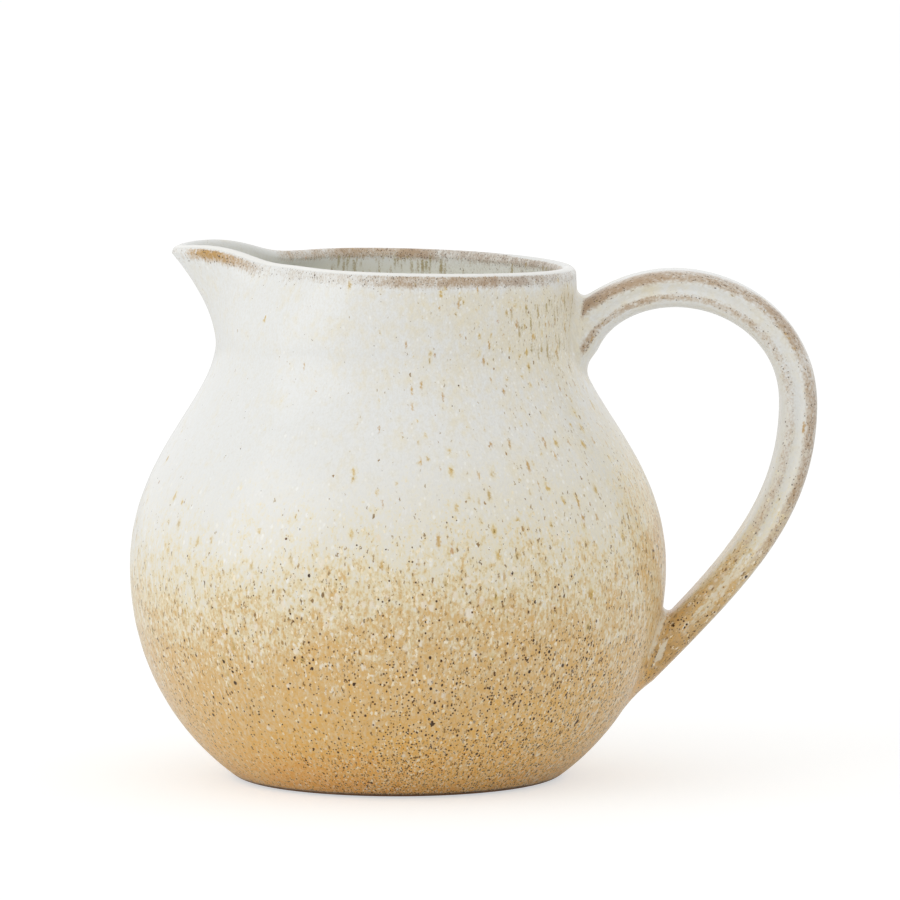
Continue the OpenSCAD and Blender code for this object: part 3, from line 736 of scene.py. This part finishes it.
def strap_course():
    """Middle line of the strap with its length from the upper root in mm: straight out of the wall, a
    cubic to the outermost point, a cubic to the belly, and a cubic into the belly. It also gives the
    length where it enters the belly."""
    t = np.linspace(0, 1, 600)
    top = np.linalg.norm(OUTERMOST - UPPER)
    low = np.linalg.norm(LOWER - OUTERMOST)
    inner = UPPER + np.linspace(-STRAP_IN, 0, 60)[:-1, None] * UPPER_DIR
    over = cubic(UPPER, UPPER + UPPER_DIR * STRAP_PULL_TOP * top,
                 OUTERMOST + [0, STRAP_PULL_TOP * top], OUTERMOST, t)
    down = cubic(OUTERMOST, OUTERMOST - [0, STRAP_PULL_MID * low],
                 LOWER - LOWER_DIR * STRAP_PULL_LOW * low, LOWER, t[1:])
    tail = cubic(LOWER, LOWER + LOWER_DIR * TAIL_CURL, LOWER + [TAIL_CURL - TAIL_IN, -TAIL_FALL],
                 LOWER + [-TAIL_IN, -TAIL_FALL], t[1:])
    line = np.vstack([inner, over, down, tail])
    far = lengths(line)
    far -= far[len(inner)]
    return line, far, far[-len(tail) - 1]


COURSE, COURSE_LENGTH, LOWER_AT = strap_course()


def on_course(s):
    """Place on the strap's middle line at a length from the upper root."""
    return np.stack([np.interp(s, COURSE_LENGTH, COURSE[:, k]) for k in (0, 1)], -1)


def strap_surface(s, a):
    """Point of the strap at a length s and angle a round its section, with the place across it, the place
    through it and the half thickness there. The section is a square-shouldered oval, swollen at the roots
    and thinner to the tail, with a bell-curve groove along both edges, an undercut at the upper root and
    a web at the tail."""
    place = on_course(s)
    ahead = on_course(s + COURSE_STEP) - on_course(s - COURSE_STEP)
    ahead /= np.linalg.norm(ahead, axis=-1, keepdims=True)
    out_of_root = np.linalg.norm(place - UPPER, axis=-1)
    swell = np.where(s < 0, 1.0, np.exp(-out_of_root ** 2 / (out_of_root + FLARE_ROUND) / FLARE_RUN))
    from_tail = np.linalg.norm(place - LOWER, axis=-1)
    press = np.where(s > LOWER_AT, 1.0, np.exp(-from_tail / (2 * ROOT_RUN)))
    spread = np.maximum(swell, press)
    taper = TAIL_TAPER * ease(s, 0.5 * LOWER_AT, 0.9 * LOWER_AT)
    wide = (STRAP_W + ROOT_SPREAD * spread) / 2
    thick = (STRAP_T - taper + ROOT_SWELL * swell) / 2
    sine = np.sin(a)
    cosine = np.cos(a)
    out = thick * np.sign(sine) * np.abs(sine) ** (FACE_ROUND + ROOT_FACE_ROUND * spread)
    dent = GROOVE * bell(out, 0, GROOVE_SHARE * thick) * (1 - spread)
    side = np.sign(cosine) * (wide * np.abs(cosine) ** (EDGE_ROUND + ROOT_EDGE_ROUND * spread) - dent)
    lift = out + np.where(out < 0, (WEB * press - UNDERCUT * swell) * out / thick, 0.0)
    x = place[..., 0] - ahead[..., 1] * lift
    z = place[..., 1] + ahead[..., 0] * lift
    return np.stack([x, side, z], -1), side, out, thick


def above_pot(point):
    """Distance of points from the glazed face of the pot: along the radius, times the cosine of the
    wall's slope."""
    x, y, z = np.moveaxis(point, -1, 0)
    turn = np.arctan2(-y, -x)
    return (np.hypot(x, y) - pot_radius(z, turn)) / np.sqrt(1 + wall_slope(z) ** 2)


def onto_pot(point, sunk):
    """Points moved along the radius onto the glazed face of the pot, and sunk a little into it."""
    x, y, z = np.moveaxis(point, -1, 0)
    turn = np.arctan2(-y, -x)
    r = pot_radius(z, turn) - sunk
    return np.stack([-r * np.cos(turn), -r * np.sin(turn), z], -1)


def strap_angles():
    """Angles round the strap's section at even steps of its outline, halfway along the strap."""
    dense = np.linspace(0, 2 * np.pi, 4001)
    outline = strap_surface(np.full(dense.shape, LOWER_AT / 2), dense)[1:3]
    far = lengths(np.stack(outline, -1))
    return np.interp(np.arange(STRAP_TURNS) * far[-1] / STRAP_TURNS, far, dense)[None, :]


def strap_meets(a):
    """Lengths at which each long line of the strap comes out of the pot and goes into it again: where its
    distance from the pot changes sign, on a straight line between two steps, to both sides of the strap's
    middle."""
    s = np.linspace(COURSE_LENGTH[0], COURSE_LENGTH[-1] - 0.5, 1200)
    away = above_pot(strap_surface(s[:, None] + 0 * a, a + 0 * s[:, None])[0])
    middle = len(s) // 2
    column = np.arange(STRAP_TURNS)
    before = middle - np.argmax(away[middle::-1] < 0, axis=0)
    after = middle + np.argmax(away[middle:] < 0, axis=0) - 1
    part = [away[k, column] / (away[k, column] - away[k + 1, column]) for k in (before, after)]
    step = s[1] - s[0]
    return (s[before] + step * part[0])[None, :], (s[after] + step * part[1])[None, :]


def strap_end(root, a, sign, least, longer):
    """Rows of one end of the strap, from its core in the wall to the strap, with the length where each
    long line leaves the fillet and the fillet's legs. The fillet is a cubic from the pot to the strap,
    pulled to where both meet as a round arc is. Its legs have a least length, and are longer the less the
    line bends, by a squared cosine."""
    meet = strap_surface(root, a)[0]
    along = strap_surface(root + sign * ROOT_STEP, a)[0] - meet
    pace = np.linalg.norm(along, axis=-1) / ROOT_STEP
    slope = wall_slope(meet[..., 2])
    normal = np.stack([meet[..., 0], meet[..., 1], -slope * np.hypot(meet[..., 0], meet[..., 1])], -1)
    beside = np.cross(normal, np.roll(meet, -1, 1) - np.roll(meet, 1, 1))
    beside /= np.linalg.norm(beside, axis=-1, keepdims=True)
    middle = meet.mean(1, keepdims=True)
    beside *= np.sign(np.sum(beside * (meet - middle)))
    cosine = np.sum(along * beside, -1) / (ROOT_STEP * pace)
    bend = np.arccos(np.clip(-cosine, -0.999, 0.999))
    pull = (4 / 3 * np.tan(bend / 4) / np.tan(bend / 2))[..., None]
    leg = least + longer * np.cos(bend / 2) ** 2
    leg = np.mean([np.roll(leg, k, 1) for k in range(-3, 4)], 0)
    free = root + sign * leg / np.maximum(pace, 0.6)
    room = (RIM[1] - LIP_CLEAR - meet[..., 2]) / np.maximum(beside[..., 2], 0.1)
    foot = onto_pot(meet + beside * np.minimum(leg, room)[..., None], FILLET_SUNK)
    leave = strap_surface(free, a)[0]
    from_foot = onto_pot(foot + pull * (meet - foot), FILLET_SUNK)
    t = np.linspace(0, 1, FILLET_ROWS)[:, None]
    curve = cubic(foot, from_foot, leave + pull * (meet - leave), leave, t)
    core = onto_pot(middle + 0.5 * (meet - middle), CORE_SUNK)
    return np.concatenate([core, onto_pot(foot, SKIRT_SUNK), curve]), free, leg


def strap_marks(a, run, far, start, end):
    """Marks of the strap, as smooth steps, bands and bell curves of the length along it and of the place
    across and through its section: white above and honey at the tail, thin along the ridges, thick in the
    groove and at the tail."""
    _, side, out, half = strap_surface(np.clip(run, start, end), a + 0 * run)
    through = out / half
    wide = np.abs(side) / (STRAP_W / 2)
    share = run / LOWER_AT
    flow = np.stack([side + STRAP_PATTERN, through * STRAP_T / 2, -far], -1)
    on_edge = ease(wide, 0.62, 0.8)
    corner = ease(wide, 0.45, 0.8)
    clear = ease(run - start, 0.3, 2.5) * ease(end - run, 0.0, 6.0)
    rooted = np.exp(-np.maximum(run - start, 0) / 9)
    # Height over the meeting, more along the corners of the section, where the white held on, and partly
    # a painted rim light that whitens the strap's edges
    rise = (0.8 * LOWER_AT - run) * 0.8 - 12 * ease(share, 0.86, 1.0)
    rise = rise + (12 * ease(through, 0.85, 0.97) + 16 * ease(np.abs(through), 0.78, 0.95)) * corner
    cream = 0.1 + 0.15 * bell(through, 0.05, 0.6, 4) + 0.4 * rooted
    # Thin coat along the outer shoulder and the inner ridge, and on the sides of the tail
    honey = ease(share, 0.55, 0.82)
    turned = ease(share, 0.2, 0.4)
    upper = 0.22 - 0.12 * ease(share, 0.25, 0.45)
    shoulder = ease(through, upper, upper + 0.42) * ease(wide, 0.15, 0.75) * (1 - 0.4 * honey)
    inner = bell(through, -0.38 - 0.1 * turned, 0.2 + 0.1 * ease(share, 0.2, 0.45), 4) * on_edge
    ridge = (shoulder + (0.85 - 0.2 * turned) * inner) * clear * (1 + 0.9 * rooted)
    groove = bell(through, 0.08, 0.3, 4) * on_edge * clear * ease(rise, -22.0, 2.0)
    face = ease(np.abs(through), 0.6, 0.9) * ease(wide, 0.9, 0.6)
    tail = 0.5 * ease(share, 0.76, 0.95) * (1 - groove) * (1 - 0.85 * face)
    thin = np.maximum(0.67 * ridge, tail)
    # Thick coat in the groove, in a collar round the tail, and in a cup just before it
    collar = 0.65 * ease(run - end, -1.8, 0.3) * ease(through, 0.1, -0.5)
    cupped = 0.9 * bell(through, -0.05, 0.26) * band(end - run, 3.5, 4.5, 6.5, 8.0) * on_edge
    thick = np.maximum.reduce([0.5 * groove * ease(rise, 14.0, 2.0), collar, cupped])
    blank = 0 * rise
    return {
        "flow": flow,
        "zone": np.stack([rise, cream, blank], -1),
        "marks": np.stack([thin, 0.22 + 0.65 * honey, thick], -1),
        "spread": np.stack([0.1 + 0.4 * rooted, 0.38 + 0.6 * face, blank], -1),
    }


def strap_handle():
    """The strap as a grid of lengths by section angles. Each long line starts on the pot beside the root,
    turns into the strap on a round fillet, runs along it, and turns out at the tail. Both ends go on a
    little into the wall and are drawn together there."""
    a = strap_angles()
    start, end = strap_meets(a)
    above = UPPER_FILLET * ease(np.sin(a), -0.95, 0.0)
    corner = FILLET + CORNER_FILLET * ease(-np.sin(a), 0.3, 0.9)
    first, leaving, first_leg = strap_end(start, a, 1, FILLET, above)
    last, arriving, last_leg = strap_end(end, a, -1, corner, LOWER_FILLET)
    along = leaving + (arriving - leaving) * np.linspace(0, 1, STRAP_ROWS)[1:-1, None]
    grid = np.concatenate([first, strap_surface(along, a + 0 * along)[0], last[::-1]])
    # Lengths along the strap, and along its surface and fillets, with two rows at each end in the wall
    u = np.linspace(1, -1, FILLET_ROWS)[:, None]
    run = np.concatenate([start - END_RUN, start - END_RUN, (start + (leaving - start) * u)[::-1], along,
                          end + (arriving - end) * u, end + END_RUN, end + END_RUN])
    before = leaving - 3 * first_leg
    after = arriving + 3 * last_leg
    far = np.concatenate([before, before, (leaving - first_leg * (1 - u))[::-1], along,
                          arriving + last_leg * (1 - u), after, after])
    made = piece("strap_handle", grid, GLAZED, strap_marks(a, run, far, start, end), ends="poles")
    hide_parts("handle", "upper_slip", "lower_slip", "handle_white_glaze", "handle_honey_glaze")


clay_pot()
glaze_coats()
strap_handle()

# Camera: a long lens, a little above the jug and turned a little down
camera = bpy.data.cameras.new("camera")
camera.sensor_width = 36.0
camera.lens = 301.7
camera.clip_end = 20.0
eye = bpy.data.objects.new("camera", camera)
eye.location = (0.011516, -1.65131, 0.23539)
eye.rotation_euler = (np.pi / 2 - np.radians(5.653), 0, 0)
bpy.context.scene.collection.objects.link(eye)
bpy.context.scene.camera = eye

# Sheet: matt white paper to stand on. The camera sees it as white as the room, with the jug's soft shadow
sheet = bpy.data.materials.new("matt_white_sheet")
sheet.use_nodes = True
tree = sheet.node_tree
tree.nodes.clear()
fibre = add(tree, "TexNoise", {"Vector": add(tree, "TexCoord")["Object"], "Scale": 900.0, "Detail": 2.0})[0]
paper = add(tree, "Mix", {0: fibre, 6: linear("F1F1F0"), 7: linear("F5F5F4")}, data_type="RGBA")[2]
path = add(tree, "LightPath")
paper = add(tree, "Mix", {0: path["Is Camera Ray"], 6: paper, 7: linear("C6C6C5")}, data_type="RGBA")[2]
matt = add(tree, "BsdfDiffuse", {"Color": paper})
lift = add(tree, "Math", {0: path["Is Camera Ray"], 1: 0.56}, operation="MULTIPLY")[0]
white = add(tree, "Emission", {"Color": (1.0, 1.0, 1.0, 1.0), "Strength": lift})
both = add(tree, "AddShader", {0: matt[0], 1: white[0]})
add(tree, "OutputMaterial", {0: both[0]})

# Corners of the sheet in metres, just below the foot
SHEET_Z = -0.0002
CORNERS = [(-12, -6, SHEET_Z), (12, -6, SHEET_Z), (12, 20, SHEET_Z), (-12, 20, SHEET_Z)]
ground = bpy.data.meshes.new("floor")
ground.from_pydata(CORNERS, [], [(0, 1, 2, 3)])
ground.materials.append(sheet)
floor = bpy.data.objects.new("floor", ground)
bpy.context.scene.collection.objects.link(floor)

# Room: plain white to the eye and in reflections, and a little dimmer as light
room = bpy.data.worlds.new("white_room")
room.use_nodes = True
tree = room.node_tree
tree.nodes.clear()
path = add(tree, "LightPath")
seen = add(tree, "Math", {0: path["Is Camera Ray"], 1: path["Is Glossy Ray"]}, operation="MAXIMUM")[0]
seen = add(tree, "Math", {0: seen, 1: path["Is Transmission Ray"]}, operation="MAXIMUM")[0]
level = add(tree, "MapRange", {0: seen, 3: 0.81, 4: 1.0})[0]
glow = add(tree, "Background", {"Color": (1.0, 1.0, 1.0, 1.0), "Strength": level})
add(tree, "OutputWorld", {0: glow[0]})
bpy.context.scene.world = room

# Lamp: one large soft box on the spout's side
lamp = bpy.data.lights.new("key_softbox", "AREA")
lamp.size = 1.6
lamp.energy = 8.5
stand = bpy.data.objects.new("key_softbox", lamp)
stand.location = (-1.6, -0.9, 0.9)
stand.rotation_euler = (np.radians(66), 0, np.radians(-60))
bpy.context.scene.collection.objects.link(stand)

bpy.context.scene.view_settings.view_transform = "Standard"
bpy.context.view_layer.update()
